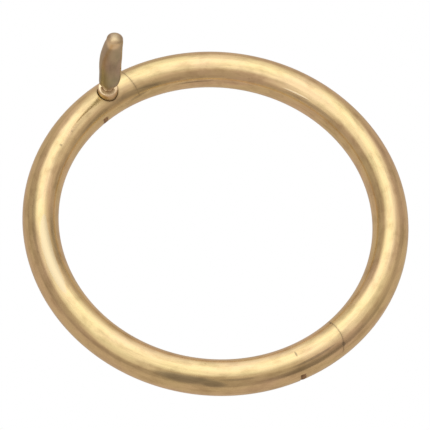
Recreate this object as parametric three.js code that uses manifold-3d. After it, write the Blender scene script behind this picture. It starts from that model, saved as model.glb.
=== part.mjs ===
// Bull nose ring of solid brass bar: two halves hinged by a rivet and closed by a break-off screw.
// Millimetres, +Z up. The ring lies flat on z = 0 and the origin is the centre of its underside.
import * as THREE from 'three';
import { mergeVertices } from 'three/addons/utils/BufferGeometryUtils.js';
import Module from 'manifold-3d';

// The ring and its round bar
const RING_OUTER_DIAMETER = 76.4;
const BAR_DIAMETER = 7.16;

// The half laps: the left half has the upper lap at both ends, the right half the lower one
const LAP_LEVEL = 4.7;
const LAP_GAP = 0.2;

// The hinge: angles are counter-clockwise from +X, seen from above
const HINGE_ANGLE = -49.25;
const HINGE_LAP_RADIUS = 5.5;
const PIN_DIAMETER = 3.2;
const PIN_GAP = 0.15;
const PIN_COVER = 0.8;

// The clasp: lap lengths are measured from the screw's axis
const CLASP_ANGLE = 135.5;
const CLASP_UPPER_LAP = 5.26;
const CLASP_LOWER_LAP = 3.7;
const CLASP_TIP_ROUND = 1.1;

// The break-off screw, from the bottom up
const SHANK_DIAMETER = 3;
const THREAD_PITCH = 0.6;
const THREAD_DEPTH = 0.3;
const SHANK_GAP = 0.2;
const SHANK_FLOOR = 0.9;
const SHANK_END_GAP = 0.3;
const COLLAR_DIAMETER = 4;
const COLLAR_GAP = 0.3;
const COLLAR_SEAT_DEPTH = 1.3;
const COLLAR_SEAT_GAP = 0.1;
const COLLAR_RISE = 1.6;
const NECK_DIAMETER = 1.8;
const NECK_HEIGHT = 0.3;
const TAB_WIDTH = 4.37;
const TAB_THICKNESS = 3.16;
const TAB_HEIGHT = 19.65;
const TAB_LEAN = 0.44;

// Fineness of the round forms
const RING_SEGMENTS = 96;
const BAR_SIDES = 24;
const ROUND_SIDES = 24;
const QUARTER_STEPS = 12;

// The tab's sections, from the neck up. height is a share of the tab's height; width, thickness and lean
// are shares of its width, thickness and lean. squareness is 1 for a diamond, 2 for an ellipse, and more
// for a rectangle with rounded corners.
const TAB_SECTIONS = [
  { height: 0, width: 0.79, thickness: 0.86, lean: 0.23, squareness: 1.5 },
  { height: 0.04, width: 0.88, thickness: 0.93, lean: 0.28, squareness: 1.9 },
  { height: 0.126, width: 0.965, thickness: 1, lean: 0.45, squareness: 3 },
  { height: 0.292, width: 0.987, thickness: 1, lean: 0.38, squareness: 3.2 },
  { height: 0.433, width: 1, thickness: 1, lean: 0.09, squareness: 3.2 },
  { height: 0.579, width: 1, thickness: 1, lean: 0.07, squareness: 3.2 },
  { height: 0.695, width: 0.933, thickness: 1, lean: 0.27, squareness: 3.2 },
  { height: 0.82, width: 0.845, thickness: 1, lean: 0.62, squareness: 2.8 },
  { height: 0.893, width: 0.784, thickness: 0.99, lean: 0.94, squareness: 2.4 },
  { height: 0.946, width: 0.745, thickness: 0.94, lean: 1, squareness: 2.1 },
  { height: 0.964, width: 0.66, thickness: 0.83, lean: 1, squareness: 2 },
  { height: 0.985, width: 0.43, thickness: 0.54, lean: 1, squareness: 2 },
  { height: 0.997, width: 0.17, thickness: 0.22, lean: 1, squareness: 2 },
  { height: 1, width: 0.06, thickness: 0.08, lean: 1, squareness: 2 },
];

// Worked out from the dimensions above
const BAR_RADIUS = BAR_DIAMETER / 2;
const RING_RADIUS = RING_OUTER_DIAMETER / 2 - BAR_RADIUS;
const REACH = 2 * BAR_DIAMETER;
const BEYOND = RING_OUTER_DIAMETER / 2 + REACH;
const PIN_TOP = BAR_DIAMETER - PIN_COVER;
const SHANK_BOTTOM = SHANK_FLOOR + SHANK_END_GAP;
const SEAT_LEVEL = BAR_DIAMETER - COLLAR_SEAT_DEPTH;
const COLLAR_TOP = BAR_DIAMETER + COLLAR_RISE;
const NECK_TOP = COLLAR_TOP + NECK_HEIGHT;

const wasm = await Module();
wasm.setup();

// A closed geometry as a solid for cutting and joining
function solidOf(geometry) {
  const bare = geometry.index ? geometry.toNonIndexed() : geometry.clone();
  bare.deleteAttribute('normal');
  bare.deleteAttribute('uv');
  const merged = mergeVertices(bare, 1e-5);
  const vertProperties = new Float32Array(merged.attributes.position.array);
  const triVerts = new Uint32Array(merged.index.array);
  return new wasm.Manifold(new wasm.Mesh({ numProp: 3, vertProperties, triVerts }));
}

// A solid back as a geometry that a mesh can hold
function geometryOf(solid) {
  const mesh = solid.getMesh();
  const geometry = new THREE.BufferGeometry();
  geometry.setAttribute('position', new THREE.BufferAttribute(new Float32Array(mesh.vertProperties), 3));
  geometry.setIndex(new THREE.BufferAttribute(new Uint32Array(mesh.triVerts), 1));
  const flat = geometry.toNonIndexed();
  flat.computeVertexNormals();
  return flat;
}

// A turned form about the vertical axis: the profile holds [radius, height] pairs and starts and ends
// on the axis, from the bottom up
function turned(profile, sides) {
  const points = profile.map(([radius, height]) => new THREE.Vector2(radius, height));
  const geometry = new THREE.LatheGeometry(points, sides);
  geometry.rotateX(Math.PI / 2);
  return solidOf(geometry);
}

// A cylinder between two heights
function rod(diameter, bottom, top) {
  const radius = diameter / 2;
  return turned([[0, bottom], [radius, bottom], [radius, top], [0, top]], ROUND_SIDES);
}

// A plan outline as an upright prism between two heights
function prism(outline, bottom, top) {
  const shape = new THREE.Shape(outline);
  const geometry = new THREE.ExtrudeGeometry(shape, { depth: top - bottom, bevelEnabled: false });
  geometry.translate(0, 0, bottom);
  return solidOf(geometry);
}

// A plan point measured from the bar's centre line at a given angle: along counter-clockwise, then outward
function station(angleDegrees, along, outward) {
  const angle = THREE.MathUtils.degToRad(angleDegrees);
  const tangent = new THREE.Vector2(-Math.sin(angle), Math.cos(angle));
  const radial = new THREE.Vector2(Math.cos(angle), Math.sin(angle));
  return radial.clone().multiplyScalar(RING_RADIUS + outward).addScaledVector(tangent, along);
}

// The whole ring before it is parted: the bar's section has a flat at the bottom to rest on
function ringBlank() {
  const corner = BAR_RADIUS / Math.cos(Math.PI / BAR_SIDES);
  const points = [];
  for (let side = 0; side <= BAR_SIDES; side += 1) {
    const angle = ((side % BAR_SIDES) + 0.5) * 2 * Math.PI / BAR_SIDES;
    points.push(new THREE.Vector2(
      RING_RADIUS + corner * Math.cos(angle),
      BAR_RADIUS + corner * Math.sin(angle),
    ));
  }
  const geometry = new THREE.LatheGeometry(points, RING_SEGMENTS);
  geometry.rotateX(Math.PI / 2);
  return solidOf(geometry);
}

// A seam at the hinge, from inside the ring outwards: square on the inner side of the pin, and round
// about the pin on the outer side where the halves turn past each other
function roundHingeSeam(side, radius) {
  const seam = [station(HINGE_ANGLE, side * radius, -REACH)];
  for (let step = 0; step <= QUARTER_STEPS; step += 1) {
    const angle = step / QUARTER_STEPS * Math.PI / 2;
    seam.push(station(HINGE_ANGLE, side * radius * Math.cos(angle), radius * Math.sin(angle)));
  }
  seam.push(station(HINGE_ANGLE, 0, REACH));
  return seam;
}

// A square seam, from inside the ring outwards
function squareSeam(angle, along) {
  return [station(angle, along, -REACH), station(angle, along, REACH)];
}

// The right half's lower lap tip at the clasp, from inside the ring outwards, with its inner corner rounded
function roundedTipSeam(along) {
  const centreAlong = along - CLASP_TIP_ROUND;
  const centreOutward = -BAR_RADIUS + CLASP_TIP_ROUND;
  const seam = [station(CLASP_ANGLE, centreAlong - CLASP_TIP_ROUND, -REACH)];
  for (let step = 0; step <= QUARTER_STEPS; step += 1) {
    const angle = step / QUARTER_STEPS * Math.PI / 2;
    seam.push(station(
      CLASP_ANGLE,
      centreAlong + CLASP_TIP_ROUND * Math.sin(angle),
      centreOutward - CLASP_TIP_ROUND * Math.cos(angle),
    ));
  }
  seam.push(station(CLASP_ANGLE, along, REACH));
  return seam;
}

// The plan of one layer of a half: out along one seam, round outside the ring, back along the other
function sector(startSeam, endSeam) {
  const first = startSeam.at(-1).angle();
  const last = endSeam.at(-1).angle();
  const sweep = THREE.MathUtils.euclideanModulo(last - first, 2 * Math.PI);
  const around = [];
  for (let step = 0; step <= QUARTER_STEPS; step += 1) {
    const angle = first + sweep * step / QUARTER_STEPS;
    around.push(new THREE.Vector2(Math.cos(angle), Math.sin(angle)).multiplyScalar(BEYOND));
  }
  return [new THREE.Vector2(0, 0), ...startSeam, ...around, ...endSeam.toReversed()];
}

// The left half: its upper layer reaches past its lower one at both ends
function leftHalf(blank) {
  const back = LAP_GAP / 2;
  const upper = sector(
    squareSeam(CLASP_ANGLE, -CLASP_UPPER_LAP + back),
    roundHingeSeam(1, HINGE_LAP_RADIUS - back),
  );
  const lower = sector(
    squareSeam(CLASP_ANGLE, CLASP_LOWER_LAP + back),
    squareSeam(HINGE_ANGLE, -HINGE_LAP_RADIUS - back),
  );
  const layers = prism(upper, LAP_LEVEL + back, LAP_LEVEL + REACH).add(prism(lower, -REACH, LAP_LEVEL + REACH));
  return blank.intersect(layers)
    .subtract(at(CLASP_ANGLE, rod(SHANK_DIAMETER + 2 * SHANK_GAP, 0, BAR_DIAMETER + REACH)))
    .subtract(at(CLASP_ANGLE, rod(COLLAR_DIAMETER + 2 * COLLAR_GAP, SEAT_LEVEL, BAR_DIAMETER + REACH)))
    .subtract(at(HINGE_ANGLE, rod(PIN_DIAMETER + 2 * PIN_GAP, -REACH, PIN_TOP + PIN_GAP)));
}

// The right half: its lower layer reaches past its upper one at both ends
function rightHalf(blank) {
  const back = LAP_GAP / 2;
  const upper = sector(
    roundHingeSeam(1, HINGE_LAP_RADIUS + back),
    squareSeam(CLASP_ANGLE, -CLASP_UPPER_LAP - back),
  );
  const lower = sector(
    roundHingeSeam(-1, HINGE_LAP_RADIUS - back),
    roundedTipSeam(CLASP_LOWER_LAP - back),
  );
  const layers = prism(lower, -REACH, LAP_LEVEL - back).add(prism(upper, -REACH, LAP_LEVEL + REACH));
  return blank.intersect(layers)
    .subtract(at(CLASP_ANGLE, rod(SHANK_DIAMETER + 2 * SHANK_GAP, SHANK_FLOOR, BAR_DIAMETER)))
    .subtract(at(HINGE_ANGLE, rod(PIN_DIAMETER + 2 * PIN_GAP, -REACH, BAR_DIAMETER)));
}

// A form made about the origin, moved to the bar's centre line at an angle
function at(angle, solid) {
  const place = station(angle, 0, 0);
  return solid.translate([place.x, place.y, 0]);
}

// The rivet: flush with the round underside, and covered by the left half's crown
function hingePin(blank) {
  return at(HINGE_ANGLE, rod(PIN_DIAMETER, -REACH, PIN_TOP)).intersect(blank);
}

// The screw's turned parts: threaded shank, collar, and the neck, which ends inside the tab's foot
function screwBody() {
  const outer = SHANK_DIAMETER / 2;
  const root = outer - THREAD_DEPTH;
  const seat = SEAT_LEVEL + COLLAR_SEAT_GAP;
  const turns = Math.floor((seat - SHANK_BOTTOM) / THREAD_PITCH);
  const profile = [[0, SHANK_BOTTOM], [root, SHANK_BOTTOM]];
  for (let turn = 0; turn < turns; turn += 1) {
    const start = SHANK_BOTTOM + turn * THREAD_PITCH;
    profile.push([outer, start + THREAD_PITCH / 2], [root, start + THREAD_PITCH * 0.95]);
  }
  profile.push([root, seat], [COLLAR_DIAMETER / 2, seat], [COLLAR_DIAMETER / 2, COLLAR_TOP]);
  const neckEnd = NECK_TOP + NECK_HEIGHT;
  profile.push([NECK_DIAMETER / 2, COLLAR_TOP], [NECK_DIAMETER / 2, neckEnd], [0, neckEnd]);
  return turned(profile, ROUND_SIDES);
}

// One section of the tab, counter-clockwise seen from above, with a flat in the middle of its front and back
function tabSection(row) {
  const bulge = (value) => Math.sign(value) * Math.abs(value) ** (2 / row.squareness);
  const points = [];
  for (let side = 0; side < ROUND_SIDES; side += 1) {
    const angle = (side + 0.5) * 2 * Math.PI / ROUND_SIDES;
    points.push(new THREE.Vector3(
      row.lean * TAB_LEAN + bulge(Math.cos(angle)) * row.width * TAB_WIDTH / 2,
      bulge(Math.sin(angle)) / bulge(Math.cos(Math.PI / ROUND_SIDES)) * row.thickness * TAB_THICKNESS / 2,
      NECK_TOP + row.height * TAB_HEIGHT,
    ));
  }
  return points;
}

// A closed skin through rings of points, from the bottom ring to the top one
function loft(rings) {
  const count = rings[0].length;
  const positions = [];
  const triangle = (...corners) => corners.forEach((corner) => positions.push(...corner.toArray()));
  for (let level = 0; level + 1 < rings.length; level += 1) {
    for (let side = 0; side < count; side += 1) {
      const next = (side + 1) % count;
      const [low, high] = [rings[level], rings[level + 1]];
      triangle(low[side], low[next], high[next]);
      triangle(low[side], high[next], high[side]);
    }
  }
  const [bottom, top] = [rings[0], rings.at(-1)];
  for (let side = 1; side + 1 < count; side += 1) {
    triangle(bottom[0], bottom[side + 1], bottom[side]);
    triangle(top[0], top[side], top[side + 1]);
  }
  const geometry = new THREE.BufferGeometry();
  geometry.setAttribute('position', new THREE.Float32BufferAttribute(positions, 3));
  return solidOf(geometry);
}

// The tab that the screw is turned by: broad and flattened, leaning a little, narrower towards its
// rounded top, and pointed at its foot where it stands on the neck
function tab() {
  return loft(TAB_SECTIONS.map(tabSection));
}

// Brass with the shine of the polished bar, and the duller cast brass of the screw
const polishedBrass = new THREE.MeshStandardMaterial({ color: 0xd9b26f, roughness: 0.25, metalness: 1 });
const rivetBrass = new THREE.MeshStandardMaterial({ color: 0xc9a262, roughness: 0.35, metalness: 1 });
const castBrass = new THREE.MeshStandardMaterial({ color: 0x9a8560, roughness: 0.5, metalness: 1 });

function piece(name, solid, material) {
  const mesh = new THREE.Mesh(geometryOf(solid), material);
  mesh.name = name;
  return mesh;
}

const blank = ringBlank();
const screw = piece('break_off_screw', screwBody().add(tab()), castBrass);
const screwPlace = station(CLASP_ANGLE, 0, 0);
screw.position.set(screwPlace.x, screwPlace.y, 0);

const group = new THREE.Group();
group.add(piece('left_half', leftHalf(blank), polishedBrass));
group.add(piece('right_half', rightHalf(blank), polishedBrass));
group.add(piece('hinge_pin', hingePin(blank), rivetBrass));
group.add(screw);

export default group;
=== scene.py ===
# Bull nose ring of brass bar: fine meshes, finishes, light and camera around the CAD frame.
# Lengths in the named values are millimetres, and meshes are in metres.
import math

import bmesh
import bpy
import numpy as np
from mathutils import Matrix, Vector


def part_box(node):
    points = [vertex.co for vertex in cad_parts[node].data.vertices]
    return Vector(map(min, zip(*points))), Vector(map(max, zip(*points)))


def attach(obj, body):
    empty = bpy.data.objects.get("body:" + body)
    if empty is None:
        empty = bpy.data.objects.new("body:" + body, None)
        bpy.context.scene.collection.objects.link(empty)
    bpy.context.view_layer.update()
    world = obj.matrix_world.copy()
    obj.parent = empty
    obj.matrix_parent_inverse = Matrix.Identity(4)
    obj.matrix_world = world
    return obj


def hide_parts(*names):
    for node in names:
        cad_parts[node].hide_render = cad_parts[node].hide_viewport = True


MM = 0.001

# Seams: the laps and their lengths repeat the CAD model's, with a finer gap
LAP_LEVEL = 4.7
LAP_GAP = 0.012
SEAM_GAP = 0.024
HINGE_ANGLE = math.radians(-49.25)
HINGE_LAP_RADIUS = 5.5
CLASP_ANGLE = math.radians(135.5)
CLASP_UPPER_LAP = 5.26
CLASP_LOWER_LAP = 3.7
CLASP_TIP_ROUND = 1.1
EDGE_ROUND = 0.035

# Holes for the rivet and the screw. FLOOR_ROW is a row's height above the counterbore's floor, and CUT_PAST
# is how far a cutter runs past the surface that it opens.
PIN_GAP = 0.02
SHANK_DIAMETER = 3.0
SHANK_GAP = 0.12
SHANK_FLOOR = 0.9
HOLE_CHAMFER = 0.2
COUNTERBORE_DIAMETER = 4.18
COUNTERBORE_DEPTH = 1.3
FLOOR_ROW = 0.1
RIM_ROUND = 0.1
CUT_PAST = 1.0

# The rivet
RIVET_ROUND = 0.03
RIVET_SIDE_START = 0.3

# The screw, from the bottom up. COLLAR_SIDE is how far the rows of the collar's side stay from its seat and
# from its shoulder.
SHANK_BOTTOM = 1.2
SHANK_TIP_ROUND = 0.15
SHANK_TOP_CLEAR = 0.05
THREAD_PITCH = 0.6
THREAD_DEPTH = 0.3
THREAD_FLANK = 1.6
THREAD_ROOT = 0.2
COLLAR_DIAMETER = 4.0
COLLAR_RISE = 1.6
COLLAR_SEAT_GAP = 0.05
COLLAR_ROUND = 0.14
COLLAR_EDGE = 0.28
COLLAR_EDGE_TURN = math.radians(80)
COLLAR_SLOPE = 0.12
COLLAR_SIDE = (0.5, 0.1)
NECK_DIAMETER = 1.8
NECK_HEIGHT = 0.3
NECK_FILLET = 0.12
TAB_WIDTH = 4.37
TAB_THICKNESS = 3.16
TAB_LEAN = 0.44
TAB_RIDGE = 0.06
TAB_RIDGE_POWER = 0.8
TAB_FOOT_DROP = 0.5
TAB_FOOT_SHARES = (0.7, 0.8, 0.9)
TAB_CROWN_POWER = 1.05
TAB_CROWN_FORWARD = 0.35

# Mesh fineness: columns round the bar in its upper, lower and side stretches, and rows along it, which lie
# closer beside a seam
SPAN_COLUMNS = 44
SIDE_COLUMNS = 12
ROW_STEP = 0.36
SEAM_ROWS = (0.1, 0.22, 0.36, 0.55)
SEAM_ROWS_SHARE = 1 / 3
ROW_CLEARANCE = 1.3
FEWEST_ROWS = 3
FACE_ROWS = 6
ARC_STEPS = 64
CUTTER_SIDES = 96
RIM_TURN = math.radians(72)
RIM_ROWS = 5
RIVET_RINGS = 9
RIVET_ROWS = 12
SCREW_SIDES = 96
THREAD_ROWS = 12
SEAT_RINGS = 4
CORNER_ROWS = 5
COLLAR_ROWS = 5
COLLAR_EDGE_ROWS = 9
COLLAR_TOP_RINGS = 7
FILLET_ROWS = 4
TAB_ROWS = 110
TAB_CROWN_ROWS = 20

# Mesh repair and shading
WELD_DISTANCE = 2e-4
SHORTEST_EDGE = 1e-4
LEVEL_TOLERANCE = 1e-3
BEVEL_ANGLE = math.radians(35)
BEVEL_SEGMENTS = 3
SHARP_ANGLE = math.radians(32)

# The camera, fitted to the ring's outline
CAMERA_ELEVATION = math.radians(61.26)
CAMERA_ROLL = math.radians(-7.45)
CAMERA_DISTANCE = 1309.0
CAMERA_FOCAL = 6627.8
CAMERA_CLIP_END = 100.0
IMAGE_SIZE = 430
RING_CENTRE_PIXEL = (215.73, 221.66)
SENSOR_WIDTH = 36.0


# Frame

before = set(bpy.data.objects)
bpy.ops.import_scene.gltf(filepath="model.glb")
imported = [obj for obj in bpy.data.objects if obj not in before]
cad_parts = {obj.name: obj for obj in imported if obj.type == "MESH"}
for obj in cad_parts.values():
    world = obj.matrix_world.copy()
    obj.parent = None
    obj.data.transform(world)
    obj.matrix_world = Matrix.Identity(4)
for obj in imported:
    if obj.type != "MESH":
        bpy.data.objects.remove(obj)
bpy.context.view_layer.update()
ring_low, ring_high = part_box("left_half")
OUTER_RADIUS = -ring_low.x / MM
BAR_RADIUS = (ring_high.z - ring_low.z) / 2 / MM
RING_RADIUS = OUTER_RADIUS - BAR_RADIUS
pin_low, pin_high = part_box("hinge_pin")
PIN_RADIUS = (pin_high.x - pin_low.x) / 2 / MM
PIN_TOP = pin_high.z / MM
TAB_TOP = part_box("break_off_screw")[1].z / MM
CROWN = 2 * BAR_RADIUS
COLLAR_TOP = CROWN + COLLAR_RISE
NECK_TOP = COLLAR_TOP + NECK_HEIGHT
REACH = 4 * BAR_RADIUS


# Plan geometry: along is counter-clockwise from an angle's section plane, outward is from the centre line

def plan_point(angle, along, outward):
    radial = np.array([math.cos(angle), math.sin(angle)])
    tangent = np.array([-math.sin(angle), math.cos(angle)])
    return (RING_RADIUS + outward) * radial + along * tangent


def torus_height(x, y, side=1):
    """The bar's surface above (side 1) or below (side -1) a plan point."""
    offset = np.clip(np.hypot(x, y) - RING_RADIUS, -BAR_RADIUS, BAR_RADIUS)
    return BAR_RADIUS + side * np.sqrt(BAR_RADIUS**2 - offset**2)


class Seam:
    """A cut across the bar: the angle at which it meets each distance from the ring's centre."""

    def __init__(self, angle, alongs, outwards):
        alongs, outwards = np.asarray(alongs, float), np.asarray(outwards, float)
        self.distances = np.hypot(RING_RADIUS + outwards, alongs)
        self.angles = angle + np.arctan2(alongs, RING_RADIUS + outwards)

    def __call__(self, distances):
        return np.interp(distances, self.distances, self.angles)


def square_seam(angle, along):
    outwards = np.linspace(-REACH, REACH, 4 * ARC_STEPS)
    return Seam(angle, np.full(outwards.shape, along), outwards)


def hinge_seam(side, radius):
    """Square on the pin's inner side, round about the pin on its outer side."""
    straight = np.linspace(-REACH, 0, 2 * ARC_STEPS, endpoint=False)
    turn = np.linspace(0, math.pi / 2, 4 * ARC_STEPS)
    alongs = np.concatenate([np.full(straight.shape, radius), radius * np.cos(turn)])
    return Seam(HINGE_ANGLE, side * alongs, np.concatenate([straight, radius * np.sin(turn)]))


def tip_seam(along):
    """The lower lap's tip at the clasp, with its inner corner rounded."""
    turn = np.linspace(0, math.pi / 2, 4 * ARC_STEPS)
    arc_along = along - CLASP_TIP_ROUND + CLASP_TIP_ROUND * np.sin(turn)
    arc_outward = -BAR_RADIUS + CLASP_TIP_ROUND - CLASP_TIP_ROUND * np.cos(turn)
    alongs = np.concatenate([[along - 2 * CLASP_TIP_ROUND], arc_along, [along]])
    return Seam(CLASP_ANGLE, alongs, np.concatenate([[-REACH], arc_outward, [REACH]]))


# Mesh building

def ring_points(angles, distances, heights):
    angles, distances, heights = np.broadcast_arrays(angles, distances, heights)
    return np.stack([distances * np.cos(angles), distances * np.sin(angles), heights], -1)


class Patches:
    """Grids of points that become one welded mesh."""

    def __init__(self):
        self.points = []
        self.quads = []
        self.inner = []
        self.count = 0

    def grid(self, points, closed=False, inner=False):
        """Adds a grid. inner marks faces that lie inside a seam or hole, which are tarnished."""
        rows, columns = points.shape[:2]
        index = self.count + np.arange(rows * columns).reshape(rows, columns)
        if closed:
            index = np.concatenate([index, index[:, :1]], 1)
        quads = np.stack([index[:-1, :-1], index[:-1, 1:], index[1:, 1:], index[1:, :-1]], -1)
        quads = quads.reshape(-1, 4)
        self.points.append(points.reshape(-1, 3))
        self.quads.append(quads)
        self.inner += [int(inner)] * len(quads)
        self.count += rows * columns

    def weld(self, name):
        mesh = bpy.data.meshes.new(name)
        points = np.concatenate(self.points) * MM
        mesh.from_pydata(points.tolist(), [], np.concatenate(self.quads).tolist())
        mesh.polygons.foreach_set("material_index", self.inner)
        work = bmesh.new()
        work.from_mesh(mesh)
        bmesh.ops.remove_doubles(work, verts=work.verts, dist=WELD_DISTANCE * MM)
        bmesh.ops.dissolve_degenerate(work, edges=work.edges, dist=SHORTEST_EDGE * MM)
        bmesh.ops.recalc_face_normals(work, faces=work.faces)
        work.to_mesh(mesh)
        work.free()
        return mesh


def make_object(name, mesh):
    piece = bpy.data.objects.new(name, mesh)
    bpy.context.scene.collection.objects.link(piece)
    return piece


def settle(piece):
    """Applies the piece's modifiers to its mesh."""
    depsgraph = bpy.context.evaluated_depsgraph_get()
    mesh = bpy.data.meshes.new_from_object(piece.evaluated_get(depsgraph))
    piece.modifiers.clear()
    piece.data = mesh


def cut(piece, cutter):
    modifier = piece.modifiers.new("cut", "BOOLEAN")
    modifier.operation = "DIFFERENCE"
    modifier.solver = "MANIFOLD"
    modifier.object = cutter
    settle(piece)
    bpy.data.objects.remove(cutter)


def round_seam_edges(piece, width, lap_height):
    """Rounds the edges where seams cross the bar, and leaves those along the lap crisp."""
    work = bmesh.new()
    work.from_mesh(piece.data)
    weights = work.edges.layers.float.new("bevel_weight_edge")
    for edge in work.edges:
        along_lap = all(abs(vertex.co.z - lap_height * MM) < LEVEL_TOLERANCE * MM for vertex in edge.verts)
        edge[weights] = float(not along_lap and edge.calc_face_angle(0.0) > BEVEL_ANGLE)
    work.to_mesh(piece.data)
    work.free()
    modifier = piece.modifiers.new("edges", "BEVEL")
    modifier.width = width * MM
    modifier.segments = BEVEL_SEGMENTS
    modifier.limit_method = "WEIGHT"
    modifier.use_clamp_overlap = True
    settle(piece)


def turned_cutter(name, centre, rows, rim=()):
    """A closed turned form. Each row gives its radius and its height, or heights round the circle. What the
    rows leave behind is tarnished, and what the rim rows after them leave is as bright as the skin."""
    turn = np.linspace(0, 2 * math.pi, CUTTER_SIDES, endpoint=False)
    points = []
    for radius, height in (*rows, *rim):
        x, y = centre[0] + radius * np.cos(turn), centre[1] + radius * np.sin(turn)
        heights = height(x, y) if callable(height) else np.full(turn.shape, float(height))
        points.append(np.stack([x, y, heights], -1))
    patches = Patches()
    patches.grid(np.array(points[:len(rows)]), closed=True, inner=True)
    if rim:
        patches.grid(np.array(points[len(rows) - 1:]), closed=True)
    return make_object(name, patches.weld(name))


def rim_rows(radius, side, width):
    """A rounded rim where a hole meets the bar's surface, which curves like a saddle there."""
    rows = []
    for step in np.linspace(0, RIM_TURN, RIM_ROWS):
        grow, sink = width * (1 - math.cos(step)), width * (1 - math.sin(step))
        rows.append((radius + grow, lambda x, y, s=sink: torus_height(x, y, side) - side * s))
    return rows


# Ring halves

def bar_half(name, layer, body_seams, lap_seams, lap_height):
    """One half of the ring. layer is 1 where the laps are the bar's upper part, -1 where its lower."""
    lean = math.asin((lap_height - BAR_RADIUS) / BAR_RADIUS)
    upper = np.linspace(lean, math.pi - lean, SPAN_COLUMNS + 1)
    inner_side = np.linspace(math.pi - lean, math.pi + lean, SIDE_COLUMNS + 1)
    outer_side = np.linspace(-lean, lean, SIDE_COLUMNS + 1)
    lower = -upper[::-1]
    whole = np.concatenate([upper[:-1], inner_side[:-1], 2 * math.pi + lower[:-1], outer_side[:-1]])
    lap_turns = upper if layer == 1 else np.concatenate(
        [inner_side[:-1], 2 * math.pi + lower[:-1], 2 * math.pi + outer_side]
    )
    patches = Patches()

    def distance_of(turns):
        return RING_RADIUS + BAR_RADIUS * np.cos(turns)

    def height_of(turns):
        return BAR_RADIUS + BAR_RADIUS * np.sin(turns)

    def skin(turns, first, last, closed=False):
        distances, heights = distance_of(turns), height_of(turns)
        start, end = first(distances), last(distances)
        share = row_shares(float(np.mean(end - start)) * RING_RADIUS)[:, None]
        patches.grid(ring_points(start + (end - start) * share, distances, heights), closed)
        return share

    def lap_face(first, last, share):
        distances = distance_of(upper)
        start, end = first(distances), last(distances)
        patches.grid(ring_points(start + (end - start) * share, distances, lap_height), inner=True)

    def upper_face(seam):
        distances = distance_of(upper)
        share = np.linspace(0, 1, FACE_ROWS + 1)[:, None]
        heights = lap_height + (height_of(upper) - lap_height) * share
        patches.grid(ring_points(seam(distances), distances, heights), inner=True)

    def lower_face(seam):
        distances = distance_of(upper)
        sides = height_of(outer_side[::-1])
        share = ((sides - sides[0]) / (sides[-1] - sides[0]))[:, None]
        heights = lap_height + (height_of(-upper) - lap_height) * share
        patches.grid(ring_points(seam(distances), distances, heights), inner=True)
        for turns, edge in ((outer_side[::-1], distances[0]), (inner_side, distances[-1])):
            across = np.stack([np.full(turns.shape, edge), distance_of(turns)])
            patches.grid(ring_points(seam(across), across, height_of(turns)), inner=True)

    long_face, short_face = (upper_face, lower_face) if layer == 1 else (lower_face, upper_face)
    skin(whole, *body_seams, closed=True)
    for first, last, end in (
        (lap_seams[0], body_seams[0], lap_seams[0]),
        (body_seams[1], lap_seams[1], lap_seams[1]),
    ):
        share = skin(lap_turns, first, last)
        lap_face(first, last, share)
        long_face(end)
    for seam in body_seams:
        short_face(seam)
    return make_object(name, patches.weld(name))


def row_shares(length):
    """Where the rows along a stretch of bar lie, as shares of its length."""
    near = np.array([step for step in SEAM_ROWS if step < length * SEAM_ROWS_SHARE]) / length
    even = np.linspace(0, 1, max(FEWEST_ROWS, round(length / ROW_STEP)) + 1)
    inside = even[(even > near[-1] * ROW_CLEARANCE) & (even < 1 - near[-1] * ROW_CLEARANCE)]
    return np.concatenate([[0], near, inside, 1 - near[::-1], [1]])


def left_half():
    back, level = SEAM_GAP / 2, LAP_LEVEL + LAP_GAP / 2
    body_seams = (
        square_seam(CLASP_ANGLE, CLASP_LOWER_LAP + back),
        turned_on(square_seam(HINGE_ANGLE, -HINGE_LAP_RADIUS - back)),
    )
    lap_seams = (
        square_seam(CLASP_ANGLE, -CLASP_UPPER_LAP + back),
        turned_on(hinge_seam(1, HINGE_LAP_RADIUS - back)),
    )
    piece = bar_half("left_half_bar", 1, body_seams, lap_seams, level)
    round_seam_edges(piece, EDGE_ROUND, level)
    clasp = plan_point(CLASP_ANGLE, 0, 0)
    hinge = plan_point(HINGE_ANGLE, 0, 0)
    hole = SHANK_DIAMETER / 2 + SHANK_GAP
    bore = COUNTERBORE_DIAMETER / 2
    seat = CROWN - COUNTERBORE_DEPTH
    below, above = LAP_LEVEL - CUT_PAST, CROWN + CUT_PAST
    cut(piece, turned_cutter("counterbore", clasp, [
        (0, below), (hole + HOLE_CHAMFER, below), (hole + HOLE_CHAMFER, level), (hole, level + HOLE_CHAMFER),
        (hole, seat), (bore, seat), (bore, seat + FLOOR_ROW),
    ], [*rim_rows(bore, 1, RIM_ROUND), (bore + RIM_ROUND, above), (0, above)]))
    radius = PIN_RADIUS + PIN_GAP
    cut(piece, turned_cutter("rivet_hole", hinge, [
        (0, below), (radius, below), (radius, PIN_TOP + PIN_GAP), (0, PIN_TOP + PIN_GAP),
    ]))
    store_bar_coordinates(piece, LEFT_HALF_START, lap_seams, body_seams)
    return piece


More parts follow.
